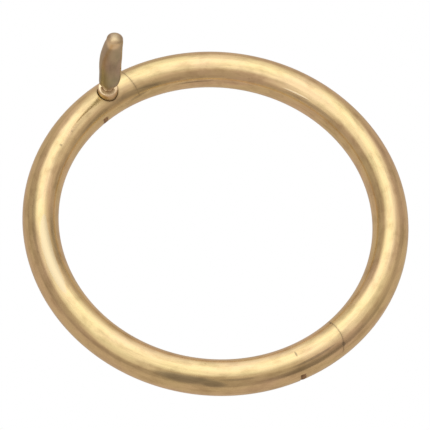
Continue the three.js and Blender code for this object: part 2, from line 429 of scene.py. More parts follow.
def right_half():
    back, level = SEAM_GAP / 2, LAP_LEVEL - LAP_GAP / 2
    body_seams = (
        hinge_seam(1, HINGE_LAP_RADIUS + back),
        square_seam(CLASP_ANGLE, -CLASP_UPPER_LAP - back),
    )
    lap_seams = (
        hinge_seam(-1, HINGE_LAP_RADIUS - back),
        tip_seam(CLASP_LOWER_LAP - back),
    )
    piece = bar_half("right_half_bar", -1, body_seams, lap_seams, level)
    round_seam_edges(piece, EDGE_ROUND, level)
    clasp = plan_point(CLASP_ANGLE, 0, 0)
    hinge = plan_point(HINGE_ANGLE, 0, 0)
    hole = SHANK_DIAMETER / 2 + SHANK_GAP
    below, above = -CUT_PAST, LAP_LEVEL + CUT_PAST
    cut(piece, turned_cutter("tapped_hole", clasp, [
        (0, SHANK_FLOOR), (hole, SHANK_FLOOR), (hole, level - HOLE_CHAMFER), (hole + HOLE_CHAMFER, level),
        (hole + HOLE_CHAMFER, above), (0, above),
    ]))
    radius = PIN_RADIUS + PIN_GAP
    cut(piece, turned_cutter("rivet_hole", hinge, [
        (0, below), (radius + RIVET_ROUND, below), *reversed(rim_rows(radius, -1, RIVET_ROUND)),
        (radius, above), (0, above),
    ]))
    store_bar_coordinates(piece, RIGHT_HALF_START, body_seams, lap_seams)
    return piece


def turned_on(seam):
    """The same seam one turn further round, for a half that passes the far side of the ring."""
    seam.angles = seam.angles + 2 * math.pi
    return seam


# Rivet

def hinge_rivet():
    """A plain rivet, dressed flush with the round underside and covered by the crown."""
    centre = plan_point(HINGE_ANGLE, 0, 0)

    def under(x, y):
        return torus_height(x, y, -1)

    side = np.linspace(CROWN * RIVET_SIDE_START, PIN_TOP - RIVET_ROUND, RIVET_ROWS)
    rows = [(radius, under) for radius in np.linspace(0, PIN_RADIUS - RIVET_ROUND, RIVET_RINGS)]
    rows += [(PIN_RADIUS, lambda x, y: under(x, y) + RIVET_ROUND)]
    rows += [(PIN_RADIUS, height) for height in side]
    rows += [(PIN_RADIUS - RIVET_ROUND, PIN_TOP), (0, PIN_TOP)]
    return turned_cutter("hinge_rivet", centre, rows)


# Screw

def smooth(value):
    value = min(max(value, 0.0), 1.0)
    return value * value * (3 - 2 * value)


def shank_rows():
    """The threaded shank: the skin's radius follows a helix."""
    turn = np.linspace(0, 2 * math.pi, SCREW_SIDES, endpoint=False)
    outer, root = SHANK_DIAMETER / 2, SHANK_DIAMETER / 2 - THREAD_DEPTH
    top = CROWN - COUNTERBORE_DEPTH + COLLAR_SEAT_GAP
    rows = [circle(0, SHANK_BOTTOM), circle(root - SHANK_TIP_ROUND, SHANK_BOTTOM)]
    start, end = SHANK_BOTTOM + SHANK_TIP_ROUND, top - SHANK_TOP_CLEAR
    for height in np.arange(start, end, THREAD_PITCH / THREAD_ROWS):
        phase = (height / THREAD_PITCH - turn / (2 * math.pi)) % 1.0
        crest = np.clip(THREAD_FLANK * (1 - np.abs(2 * phase - 1)) - THREAD_ROOT, 0, 1)
        fade = smooth((height - SHANK_BOTTOM) / THREAD_PITCH) * smooth((top - height) / THREAD_PITCH)
        radius = root + (outer - root) * crest * fade
        rows.append(np.stack([radius * np.cos(turn), radius * np.sin(turn), 0 * turn + height], -1))
    rows.append(circle(root, top))
    return rows


def circle(radius, height):
    turn = np.linspace(0, 2 * math.pi, SCREW_SIDES, endpoint=False)
    return np.stack([radius * np.cos(turn), radius * np.sin(turn), 0 * turn + height], -1)


def collar_rows():
    """The collar with a rounded edge and a slightly coned top, and the thin neck that stands on it."""
    radius, seat = COLLAR_DIAMETER / 2, CROWN - COUNTERBORE_DEPTH + COLLAR_SEAT_GAP
    shoulder = COLLAR_TOP - COLLAR_SLOPE - COLLAR_EDGE
    foot = NECK_DIAMETER / 2 + NECK_FILLET
    seat_radii = np.linspace(SHANK_DIAMETER / 2, radius - COLLAR_ROUND, SEAT_RINGS)
    rows = [circle(value, seat) for value in seat_radii]
    for step in np.linspace(0, math.pi / 2, CORNER_ROWS + 1)[1:]:
        inset, rise = COLLAR_ROUND * (1 - math.sin(step)), COLLAR_ROUND * (1 - math.cos(step))
        rows.append(circle(radius - inset, seat + rise))
    side = np.linspace(seat + COLLAR_SIDE[0], shoulder - COLLAR_SIDE[1], COLLAR_ROWS)
    rows += [circle(radius, height) for height in side]
    for step in np.linspace(0, COLLAR_EDGE_TURN, COLLAR_EDGE_ROWS):
        inset, rise = COLLAR_EDGE * (1 - math.cos(step)), COLLAR_EDGE * math.sin(step)
        rows.append(circle(radius - inset, shoulder + rise))
    slope = np.linspace(0, 1, COLLAR_TOP_RINGS + 1)[1:, None, None]
    rows += list(rows[-1] + (circle(foot, COLLAR_TOP) - rows[-1]) * slope)
    for step in np.linspace(0, math.pi / 2, FILLET_ROWS + 1)[1:]:
        inset, rise = NECK_FILLET * math.sin(step), NECK_FILLET * (1 - math.cos(step))
        rows.append(circle(foot - inset, COLLAR_TOP + rise))
    return rows


# The tab's sections: the CAD model's, with a narrower foot and softer corners. height is a share of the
# tab's height; width, thickness and lean are shares of its width, thickness and lean. squareness is 1 for a
# diamond, 2 for an ellipse, and more for a rectangle with rounded corners.
TAB_SECTIONS = [
    {"height": 0.000, "width": 0.68, "thickness": 0.74, "lean": -0.08, "squareness": 1.05},
    {"height": 0.012, "width": 0.745, "thickness": 0.81, "lean": -0.06, "squareness": 1.1},
    {"height": 0.040, "width": 0.82, "thickness": 0.89, "lean": -0.02, "squareness": 1.3},
    {"height": 0.080, "width": 0.875, "thickness": 0.96, "lean": 0.09, "squareness": 1.8},
    {"height": 0.126, "width": 0.92, "thickness": 1.00, "lean": 0.23, "squareness": 2.6},
    {"height": 0.200, "width": 0.972, "thickness": 1.00, "lean": 0.42, "squareness": 2.9},
    {"height": 0.292, "width": 0.987, "thickness": 1.00, "lean": 0.38, "squareness": 3.0},
    {"height": 0.433, "width": 1.00, "thickness": 1.00, "lean": 0.09, "squareness": 3.1},
    {"height": 0.579, "width": 1.00, "thickness": 1.00, "lean": 0.07, "squareness": 3.1},
    {"height": 0.695, "width": 0.933, "thickness": 1.00, "lean": 0.27, "squareness": 3.0},
    {"height": 0.820, "width": 0.845, "thickness": 1.00, "lean": 0.62, "squareness": 2.6},
    {"height": 0.893, "width": 0.784, "thickness": 0.99, "lean": 0.94, "squareness": 2.3},
    {"height": 0.946, "width": 0.745, "thickness": 0.94, "lean": 1.00, "squareness": 2.1},
]


def smooth_column(key, at):
    """A section value at a share of the tab's height, on a smooth curve through the listed ones."""
    heights = np.array([row["height"] for row in TAB_SECTIONS])
    values = np.array([row[key] for row in TAB_SECTIONS])
    slopes = np.gradient(values, heights)
    low = int(np.clip(np.searchsorted(heights, at) - 1, 0, len(heights) - 2))
    span = heights[low + 1] - heights[low]
    part = min(max((at - heights[low]) / span, 0.0), 1.0)
    rise = part * part * (3 - 2 * part)
    bend = part * (1 - part) * span
    start, end = slopes[low], slopes[low + 1]
    return values[low] + (values[low + 1] - values[low]) * rise + bend * (start * (1 - part) - end * part)


def tab_section(at, shrink=1.0):
    """One section of the tab, with a soft ridge down the middle of its front."""
    turn = np.linspace(0, 2 * math.pi, SCREW_SIDES, endpoint=False)
    power = 2 / smooth_column("squareness", at)
    across = np.sign(np.cos(turn)) * np.abs(np.cos(turn)) ** power
    deep = np.sign(np.sin(turn)) * np.abs(np.sin(turn)) ** power
    x = across * smooth_column("width", at) * TAB_WIDTH / 2
    y = deep * smooth_column("thickness", at) * TAB_THICKNESS / 2
    y = y + TAB_RIDGE * np.clip(-deep, 0, 1) * np.abs(across) ** TAB_RIDGE_POWER
    return np.stack([shrink * x + smooth_column("lean", at) * TAB_LEAN, shrink * y, 0 * turn], -1)


def tab_rows():
    """The tab: broad and flattened, leaning a little, narrower towards its rounded top."""
    height = TAB_TOP - NECK_TOP
    foot = tab_section(0)
    rows = [foot * share + (0, 0, NECK_TOP - TAB_FOOT_DROP * (1 - share)) for share in TAB_FOOT_SHARES]
    top = TAB_SECTIONS[-1]["height"]
    for share in np.linspace(0, math.pi, TAB_ROWS):
        at = top * (0.5 - 0.5 * math.cos(share))
        rows.append(tab_section(at) + (0, 0, NECK_TOP + at * height))
    for turn in np.linspace(0, math.pi / 2, TAB_CROWN_ROWS + 1)[1:]:
        rise, shrink = math.sin(turn) ** TAB_CROWN_POWER, abs(math.cos(turn)) ** TAB_CROWN_POWER
        place = (0, -TAB_CROWN_FORWARD * (1 - shrink), NECK_TOP + (top + (1 - top) * rise) * height)
        rows.append(tab_section(top, shrink) + place)
    return rows


def break_off_screw():
    rows = np.array(shank_rows() + collar_rows() + tab_rows())
    rows[..., :2] += plan_point(CLASP_ANGLE, 0, 0)
    patches = Patches()
    patches.grid(rows, closed=True)
    piece = make_object("break_off_screw_fine", patches.weld("break_off_screw_fine"))
    for face in piece.data.polygons:
        face.material_index = int(face.center.z > (COLLAR_TOP + NECK_HEIGHT / 2) * MM)
    return piece


# What the materials read from a mesh: bar, a place on the bar as millimetres along its centre line from +X,
# outward and up, and the darkening beside seams and round the collar, which is dirt and painted shade in
# these crevices

LEFT_HALF_START = math.pi / 2
RIGHT_HALF_START = -math.pi
GRIME_AND_SHADE_REACH = 0.2
GRIME_AND_SHADE_POWER = 1.5
SEAM_GRIME_AND_SHADE = 0.32
BORE_GRIME_AND_SHADE = 0.3
COLLAR_GRIME_AND_SHADE_TOP = 0.3
COLLAR_GRIME_AND_SHADE_FADE = 0.6


def store_bar_coordinates(piece, start_angle, upper_ends=None, lower_ends=None):
    mesh = piece.data
    places = np.empty(len(mesh.vertices) * 3)
    mesh.vertices.foreach_get("co", places)
    x, y, z = places.reshape(-1, 3).T / MM
    angles = np.mod(np.arctan2(y, x) - start_angle, 2 * math.pi) + start_angle
    distances = np.hypot(x, y)
    values = np.stack([angles * RING_RADIUS, distances - RING_RADIUS, z - BAR_RADIUS], -1)
    layer = mesh.attributes.new("bar", "FLOAT_VECTOR", "POINT")
    layer.data.foreach_set("vector", values.ravel())
    if upper_ends is None:
        return
    upper_gap = seam_distance(angles, distances, upper_ends)
    lower_gap = seam_distance(angles, distances, lower_ends)
    gap = np.where(z > LAP_LEVEL, upper_gap, lower_gap)
    centre = plan_point(CLASP_ANGLE, 0, 0)
    rim_gap = np.hypot(x - centre[0], y - centre[1]) - COUNTERBORE_DIAMETER / 2 - RIM_ROUND
    # Darker beside the seams and round the counterbore: dirt, and painted shade in these crevices
    beside_seam = SEAM_GRIME_AND_SHADE * np.exp(-((np.abs(gap) / GRIME_AND_SHADE_REACH) ** GRIME_AND_SHADE_POWER))
    beside_bore = BORE_GRIME_AND_SHADE * np.exp(-((np.maximum(rim_gap, 0) / GRIME_AND_SHADE_REACH) ** GRIME_AND_SHADE_POWER))
    store_grime_and_shade(mesh, np.maximum(beside_seam, np.where(z > LAP_LEVEL, beside_bore, 0)))


def seam_distance(angles, distances, ends):
    """How far inside a layer of a half a point lies, measured along the bar from the layer's nearer end."""
    return np.minimum(angles - ends[0](distances), ends[1](distances) - angles) * distances


def store_grime_and_shade(mesh, values):
    layer = mesh.attributes.new("grime_and_shade", "FLOAT", "POINT")
    layer.data.foreach_set("value", values)


def store_screw_grime_and_shade(piece):
    """Dirt and painted shade in the thread and round the foot of the collar, where it stands in the
    counterbore.
    """
    mesh = piece.data
    places = np.empty(len(mesh.vertices) * 3)
    mesh.vertices.foreach_get("co", places)
    heights = places.reshape(-1, 3)[:, 2] / MM
    depth = (CROWN + COLLAR_GRIME_AND_SHADE_TOP - heights) / COLLAR_GRIME_AND_SHADE_FADE
    store_grime_and_shade(mesh, BORE_GRIME_AND_SHADE * np.clip(depth, 0, 1))


def set_materials(piece, materials):
    """Puts the materials in the piece's slots and keeps which face uses which slot."""
    slots = [min(face.material_index, len(materials) - 1) for face in piece.data.polygons]
    piece.data.materials.clear()
    for material in materials:
        piece.data.materials.append(material)
    piece.data.polygons.foreach_set("material_index", slots)


def shade(piece):
    mesh = piece.data
    mesh.shade_smooth()
    mesh.set_sharp_from_angle(angle=SHARP_ANGLE)


# Materials

class Nodes:
    """Short calls for a material's or world's node tree."""

    def __init__(self, tree):
        self.tree = tree
        tree.nodes.clear()

    def add(self, kind, **settings):
        node = self.tree.nodes.new(kind)
        for key, value in settings.items():
            setattr(node, key, value)
        return node

    def link(self, source, target):
        self.tree.links.new(source, target)

    def value_into(self, socket, value):
        if isinstance(value, bpy.types.NodeSocket):
            self.link(value, socket)
        else:
            socket.default_value = value

    def split(self, vector):
        """The X, Y and Z of a vector."""
        node = self.add("ShaderNodeSeparateXYZ")
        self.link(vector, node.inputs[0])
        return node.outputs

    def math(self, operation, first, second=0.0, third=0.0):
        node = self.add("ShaderNodeMath", operation=operation)
        for socket, value in zip(node.inputs, (first, second, third)):
            self.value_into(socket, value)
        return node.outputs[0]

    def weighted_sum(self, total, fields, weights):
        """total plus each named field times its weight."""
        for name, weight in weights.items():
            total = self.math("MULTIPLY_ADD", fields[name], weight, total)
        return total

    def smooth_step(self, value, low, high, level=1.0):
        """Nothing below low, rising smoothly to level at high."""
        node = self.add("ShaderNodeMapRange", interpolation_type="SMOOTHSTEP")
        self.link(value, node.inputs["Value"])
        for name, number in (("From Min", low), ("From Max", high), ("To Max", level)):
            node.inputs[name].default_value = number
        return node.outputs["Result"]

    def noise(self, vector, scale, offset, detail, roughness):
        """Noise of vector times scale, moved by offset along its first axis."""
        scaled = self.add("ShaderNodeVectorMath", operation="MULTIPLY_ADD")
        self.link(vector, scaled.inputs[0])
        scaled.inputs[1].default_value = scale
        scaled.inputs[2].default_value = (offset, 0.0, 0.0)
        node = self.add("ShaderNodeTexNoise")
        self.link(scaled.outputs[0], node.inputs["Vector"])
        for name, number in (("Scale", 1.0), ("Detail", detail), ("Roughness", roughness)):
            node.inputs[name].default_value = number
        return node.outputs["Fac"]

    def ramp(self, factor, stops):
        node = self.add("ShaderNodeValToRGB")
        elements = node.color_ramp.elements
        while len(elements) < len(stops):
            elements.new(0.5)
        for element, (position, colour) in zip(elements, stops):
            element.position = position
            element.color = opaque(colour)
        self.link(factor, node.inputs["Fac"])
        return node.outputs["Color"]

    def mix(self, factor, first, second, blend="MIX"):
        node = self.add("ShaderNodeMix", data_type="RGBA", blend_type=blend)
        colours = [socket for socket in node.inputs if socket.type == "RGBA"]
        self.value_into(node.inputs["Factor"], factor)
        self.value_into(colours[0], first)
        self.value_into(colours[1], second)
        return [socket for socket in node.outputs if socket.type == "RGBA"][0]


def grey(value):
    return (value, value, value)


def opaque(colour):
    return (*colour, 1.0)


def material_nodes(name):
    material = bpy.data.materials.new(name)
    material.use_nodes = True
    return material, Nodes(material.node_tree)


def finish_metal(nodes, metallic, base, roughness, height=None, bump=None):
    """The shader and the output. bump gives the strength and the distance, in millimetres, of height."""
    surface = nodes.add("ShaderNodeBsdfPrincipled")
    surface.inputs["Metallic"].default_value = metallic
    nodes.link(base, surface.inputs["Base Color"])
    nodes.link(roughness, surface.inputs["Roughness"])
    if bump:
        relief = nodes.add("ShaderNodeBump")
        relief.inputs["Strength"].default_value = bump["strength"]
        relief.inputs["Distance"].default_value = bump["distance"] * MM
        nodes.link(height, relief.inputs["Height"])
        nodes.link(relief.outputs[0], surface.inputs["Normal"])
    output = nodes.add("ShaderNodeOutputMaterial")
    nodes.link(surface.outputs[0], output.inputs["Surface"])


# Dark marks on the bar. Most are painted shade and painted reflections: dark streaks where the bar reflects
# the tab beside the clasp, darker strips along the edges of highlights and a dark band at the front; a few
# small ones are nicks and dirt. Each gives where it lies, in degrees round the ring and round the bar's
# section, its half length along the bar and half width round it in millimetres, its slant, and how dark it
# is
MARKS_AND_PAINTED_SHADE = [
    {"round": 303.2, "section": 93, "length": 0.26, "width": 0.78, "slant": 0.12, "depth": 0.50},
    {"round": 161.7, "section": 99, "length": 0.34, "width": 0.42, "slant": 0.0, "depth": 0.40},
    {"round": 155.1, "section": 105, "length": 0.24, "width": 0.26, "slant": 0.0, "depth": 0.35},
    {"round": 142.1, "section": 166, "length": 0.55, "width": 0.35, "slant": 0.0, "depth": 0.50},
    {"round": 127.0, "section": 137, "length": 7.2, "width": 0.75, "slant": -0.015, "depth": 0.30},
    {"round": 142.5, "section": 88, "length": 3.6, "width": 1.10, "slant": 0.0, "depth": 0.18},
    {"round": 126.3, "section": 157, "length": 2.8, "width": 0.35, "slant": 0.1, "depth": 0.35},
    {"round": 104.0, "section": 160, "length": 6.0, "width": 0.22, "slant": 0.02, "depth": 0.45},
    {"round": 122.3, "section": 137, "length": 3.8, "width": 0.26, "slant": -0.09, "depth": 0.50},
    {"round": 318.5, "section": 44, "length": 0.46, "width": 0.60, "slant": 0.0, "depth": 0.60},
    {"round": 320.3, "section": 130, "length": 0.32, "width": 0.35, "slant": 0.0, "depth": 0.70},
    {"round": 308.5, "section": 58, "length": 6.0, "width": 0.32, "slant": 0.02, "depth": 0.45},
    {"round": 266.9, "section": 49, "length": 7.0, "width": 1.05, "slant": 0.02, "depth": 0.60},
    {"round": 275.0, "section": 43, "length": 3.4, "width": 0.90, "slant": -0.10, "depth": 0.56},
    {"round": 190.0, "section": 64, "length": 9.0, "width": 0.50, "slant": -0.04, "depth": 0.25},
    {"round": 198.0, "section": 123, "length": 8.5, "width": 0.50, "slant": -0.02, "depth": 0.25},
    {"round": 60.0, "section": 136, "length": 8.0, "width": 0.42, "slant": 0.03, "depth": 0.30},
    {"round": 283.0, "section": 55, "length": 4.5, "width": 0.26, "slant": 0.0, "depth": 0.30},
]
# A scuff, given in the same way: a pale, duller place with a jagged edge, whose paleness is partly a painted
# reflection of a bright band
SCUFF_AND_REFLECTION = {"round": 204.0, "section": 92, "length": 9.5, "width": 1.1, "slant": -0.05, "depth": 0.90}
# A raised burr, given in the same way, with a painted highlight along it
BURR_AND_GLINT = {"round": 67.0, "section": 130.4, "length": 3.8, "width": 0.24, "slant": 0.04, "depth": 1.0}
# A smudge, given in the same way, that blurs what the bar reflects beside the clasp
SMUDGE = {"round": 132.0, "section": 124, "length": 9.0, "width": 2.6, "slant": 0.0, "depth": 0.22}
# How far in from its edge a mark reaches its full depth, as a share
MARK_CORE = 0.85
SCUFF_AND_REFLECTION_CORE = 0.15


def mark_mask(nodes, place, mark, core=MARK_CORE):
    """A mark's depth in its middle, fading to 0 at its edge. place holds along and turn, in millimetres."""
    along = nodes.math("SUBTRACT", place[0], math.radians(mark["round"]) * RING_RADIUS)
    along = nodes.math("WRAP", along, math.pi * RING_RADIUS, -math.pi * RING_RADIUS)
    across = nodes.math("SUBTRACT", place[1], math.radians(mark["section"]) * BAR_RADIUS)
    across = nodes.math("MULTIPLY_ADD", along, -mark["slant"], across)
    along = nodes.math("POWER", nodes.math("DIVIDE", along, mark["length"]), 2.0)
    across = nodes.math("POWER", nodes.math("DIVIDE", across, mark["width"]), 2.0)
    fade = nodes.math("SUBTRACT", 1.0, nodes.math("ADD", along, across))
    return nodes.smooth_step(fade, 0.0, core, mark["depth"])


# Noise on the bar, in features per millimetre along it, outward and up. The offset keeps each apart from
# the others.
BAR_NOISE = {
    "streaks": {"scale": (0.10, 1.1, 1.1), "offset": 0.0, "detail": 6.0, "roughness": 0.62},
    "hairs": {"scale": (0.25, 11.0, 11.0), "offset": 3.1, "detail": 3.0, "roughness": 0.6},
    "blotches": {"scale": (0.30, 0.55, 0.55), "offset": 17.0, "detail": 5.0, "roughness": 0.6},
    "tint": {"scale": (0.09, 0.30, 0.30), "offset": 41.0, "detail": 3.0, "roughness": 0.5},
    "specks": {"scale": (2.2, 3.4, 3.4), "offset": 7.0, "detail": 2.0, "roughness": 0.5},
}
# The bar's colours, and by how much blotches, streaks and specks darken them
BRASS_TINTS = [(0.34, (0.94, 0.735, 0.46)), (0.50, (0.94, 0.760, 0.44)), (0.66, (0.92, 0.765, 0.42))]
BLOTCH_SHADES = [(0.32, (0.80, 0.78, 0.76)), (0.52, grey(0.97)), (0.70, grey(1.0))]
STREAK_SHADES = [(0.28, (0.80, 0.78, 0.76)), (0.50, grey(0.97)), (0.70, grey(1.0))]
SPECK_SHADES = [(0.20, (0.62, 0.55, 0.48)), (0.29, grey(1.0))]
# The colour of the dirt and of the painted shade beside seams, round the counterbore and along the dark
# marks
DIRT_AND_SHADE_COLOUR = (0.165, 0.145, 0.105)
SCUFF_AND_REFLECTION_COLOUR = (0.82, 0.715, 0.49)
BURR_GLINT_COLOUR = (0.97, 0.88, 0.68)
BURR_GLINT_LEVEL = 0.6
# Painted highlight on the collar's top: the collar grows paler between these heights above the bar's crown
COLLAR_HIGHLIGHT_COLOUR = (1.0, 0.82, 0.56)
COLLAR_HIGHLIGHT_SPAN = (0.9, 1.3)
# How hairs break up the dirt and painted shade, and how far streaks tear the edge of the scuff and its
# painted reflection, in millimetres
DIRT_AND_SHADE_BREAK = (0.9, 0.55)
SCUFF_AND_REFLECTION_TEAR = (1.1, -0.55)
# The bar's least roughness and what these add to it, and what makes its relief
BAR_ROUGHNESS = 0.07
BAR_ROUGHNESS_SHARES = {"blotches": 0.14, "scuff_and_reflection": 0.12, "hairs": 0.08, "smudge": 1.0, "dirt_and_shade": 0.35}
BAR_RELIEF_SHARES = {"hairs": 0.22, "streaks": 1.6, "blotches": 2.4, "burr_and_glint": 10.0, "dirt_and_shade": -0.8}
BAR_BUMP = {"strength": 0.28, "distance": 0.02}


def polished_brass():
    """Polished bar: fine lines along it, duller blotches, tarnish and painted shade beside the seams, a few
    marks that are mostly painted shade and painted reflections, a pale scuff that is partly a painted
    reflection, and painted highlights along a burr and on the collar's top.
    """
    material, nodes = material_nodes("polished_brass")
    bar = nodes.add("ShaderNodeAttribute", attribute_name="bar").outputs["Vector"]
    grime_and_shade = nodes.add("ShaderNodeAttribute", attribute_name="grime_and_shade").outputs["Fac"]
    parts = nodes.split(bar)
    turn = nodes.math("ARCTAN2", parts["Z"], parts["Y"])
    place = (parts["X"], nodes.math("MULTIPLY", turn, BAR_RADIUS))
    fields = {name: nodes.noise(bar, **settings) for name, settings in BAR_NOISE.items()}

    base = nodes.ramp(fields["tint"], BRASS_TINTS)
    for name, shades in (("blotches", BLOTCH_SHADES), ("streaks", STREAK_SHADES), ("specks", SPECK_SHADES)):
        base = nodes.mix(1.0, base, nodes.ramp(fields[name], shades), "MULTIPLY")
    # Dirt and painted shade: darker beside the seams, round the counterbore and along the dark marks
    dirt_and_shade = grime_and_shade
    for mark in MARKS_AND_PAINTED_SHADE:
        dirt_and_shade = nodes.math("MAXIMUM", dirt_and_shade, mark_mask(nodes, place, mark))
    edge = nodes.math("MULTIPLY_ADD", fields["hairs"], *DIRT_AND_SHADE_BREAK)
    fields["dirt_and_shade"] = nodes.math("MINIMUM", nodes.math("MULTIPLY", dirt_and_shade, edge), 1.0)
    base = nodes.mix(fields["dirt_and_shade"], base, opaque(DIRT_AND_SHADE_COLOUR))

    # The pale scuff, partly a painted reflection
    jagged = nodes.math("MULTIPLY_ADD", fields["streaks"], *SCUFF_AND_REFLECTION_TEAR)
    torn = (place[0], nodes.math("ADD", place[1], jagged))
    fields["scuff_and_reflection"] = mark_mask(nodes, torn, SCUFF_AND_REFLECTION, SCUFF_AND_REFLECTION_CORE)
    base = nodes.mix(fields["scuff_and_reflection"], base, opaque(SCUFF_AND_REFLECTION_COLOUR))
    # Painted highlight along the raised burr
    fields["burr_and_glint"] = mark_mask(nodes, place, BURR_AND_GLINT)
    base = nodes.mix(nodes.math("MULTIPLY", fields["burr_and_glint"], BURR_GLINT_LEVEL), base, opaque(BURR_GLINT_COLOUR))
    # Painted highlight: the collar paler towards its top
    collar_highlight = nodes.smooth_step(parts["Z"], *(BAR_RADIUS + rise for rise in COLLAR_HIGHLIGHT_SPAN))
    base = nodes.mix(collar_highlight, base, opaque(COLLAR_HIGHLIGHT_COLOUR))

    fields["smudge"] = mark_mask(nodes, place, SMUDGE)
    roughness = nodes.weighted_sum(BAR_ROUGHNESS, fields, BAR_ROUGHNESS_SHARES)
    height = nodes.weighted_sum(0.0, fields, BAR_RELIEF_SHARES)
    finish_metal(nodes, 1.0, base, roughness, height, BAR_BUMP)
    return material


TARNISH_NOISE = {"scale": grey(900.0), "offset": 0.0, "detail": 4.0, "roughness": 0.6}
TARNISH_COLOURS = [(0.35, (0.36, 0.235, 0.125)), (0.65, (0.54, 0.370, 0.210))]
TARNISH_METALLIC = 0.8
TARNISH_ROUGHNESS = 0.4
TARNISH_ROUGHNESS_SHARES = {"cloud": 0.3}


def tarnished_brass():
    """The dark, dull insides of the seams and holes."""
    material, nodes = material_nodes("tarnished_brass")
    place = nodes.add("ShaderNodeTexCoord").outputs["Object"]
    cloud = nodes.noise(place, **TARNISH_NOISE)
    base = nodes.ramp(cloud, TARNISH_COLOURS)
    roughness = nodes.weighted_sum(TARNISH_ROUGHNESS, {"cloud": cloud}, TARNISH_ROUGHNESS_SHARES)
    finish_metal(nodes, TARNISH_METALLIC, base, roughness)
    return material


# Noise on the tab, in features per metre
TAB_NOISE = {
    "cloud": {"scale": (420.0, 420.0, 170.0), "offset": 0.0, "detail": 4.0, "roughness": 0.6},
    "tint": {"scale": (260.0, 260.0, 90.0), "offset": 5.0, "detail": 3.0, "roughness": 0.5},
    "grain": {"scale": (3200.0, 3200.0, 1500.0), "offset": 0.0, "detail": 3.0, "roughness": 0.6},
}
TAB_COLOURS = [(0.36, (0.57, 0.455, 0.33)), (0.50, (0.54, 0.47, 0.31)), (0.62, (0.51, 0.48, 0.29))]
TAB_SHADES = [(0.30, grey(0.72)), (0.50, grey(0.95)), (0.70, grey(1.08))]
# Painted sheen, the tab lighter towards its top, rises between these distances below the tab's top, and
# painted shade, the tab darker and browner at its foot, fades out this far up it
SHEEN_COLOUR = (0.74, 0.62, 0.44)
SHEEN_SPAN = (9, 1)
SHEEN_LEVEL = 0.42
FOOT_SHADE_COLOUR = (0.42, 0.33, 0.235)
FOOT_SHADE_SPAN = 5
FOOT_SHADE_LEVEL = 0.8
# Where the top is rubbed brightest and carries a painted highlight, from the tab's axis and top, and how far
# off that ends and is full
RUB_HIGHLIGHT_COLOUR = (1.0, 0.83, 0.54)
RUB_HIGHLIGHT_OFFSET = (0.2, -1.5, -1.0)
RUB_HIGHLIGHT_SPAN = (2.4, 1.1)
# How far clouds move these places' edges, in millimetres
LEVEL_WANDER = 1.2
RUB_HIGHLIGHT_WANDER = 0.8
TAB_ROUGHNESS = 0.26
TAB_ROUGHNESS_SHARES = {"grain": 0.22}
TAB_RELIEF_SHARES = {"grain": 0.5, "cloud": 1.6}
TAB_BUMP = {"strength": 0.5, "distance": 0.04}


def cast_brass():
    """The dull cast tab: brown beside olive, uneven and a little pitted, lighter towards its top with
    painted sheen, darker at its foot with painted shade, and rubbed bright at its top with a painted
    highlight.
    """
    material, nodes = material_nodes("cast_brass")
    place = nodes.add("ShaderNodeTexCoord").outputs["Object"]
    fields = {name: nodes.noise(place, **settings) for name, settings in TAB_NOISE.items()}
    cloud = fields["cloud"]
    base = nodes.mix(1.0, nodes.ramp(fields["tint"], TAB_COLOURS), nodes.ramp(cloud, TAB_SHADES), "MULTIPLY")
    level = nodes.math("MULTIPLY_ADD", cloud, LEVEL_WANDER * MM, nodes.split(place)["Z"])
    # Painted sheen: the tab lighter towards its top
    sheen = nodes.smooth_step(level, *((TAB_TOP - down) * MM for down in SHEEN_SPAN), SHEEN_LEVEL)
    base = nodes.mix(sheen, base, opaque(SHEEN_COLOUR))
    # Painted shade: the tab darker and browner towards its foot
    foot = nodes.smooth_step(level, (NECK_TOP + FOOT_SHADE_SPAN) * MM, NECK_TOP * MM, FOOT_SHADE_LEVEL)
    base = nodes.mix(foot, base, opaque(FOOT_SHADE_COLOUR))
    # Painted highlight where the top is rubbed bright
    rub_highlight_distance = nodes.add("ShaderNodeVectorMath", operation="DISTANCE")
    nodes.link(place, rub_highlight_distance.inputs[0])
    tab = (*plan_point(CLASP_ANGLE, 0, 0), TAB_TOP)
    rub_highlight_distance.inputs[1].default_value = [(middle + step) * MM for middle, step in zip(tab, RUB_HIGHLIGHT_OFFSET)]
    away = nodes.math("MULTIPLY_ADD", cloud, RUB_HIGHLIGHT_WANDER * MM, rub_highlight_distance.outputs["Value"])
    rub_highlight = nodes.smooth_step(away, *(distance * MM for distance in RUB_HIGHLIGHT_SPAN))
    base = nodes.mix(rub_highlight, base, opaque(RUB_HIGHLIGHT_COLOUR))
    roughness = nodes.weighted_sum(TAB_ROUGHNESS, fields, TAB_ROUGHNESS_SHARES)
    height = nodes.weighted_sum(0.0, fields, TAB_RELIEF_SHARES)
    finish_metal(nodes, 1.0, base, roughness, height, TAB_BUMP)
    return material


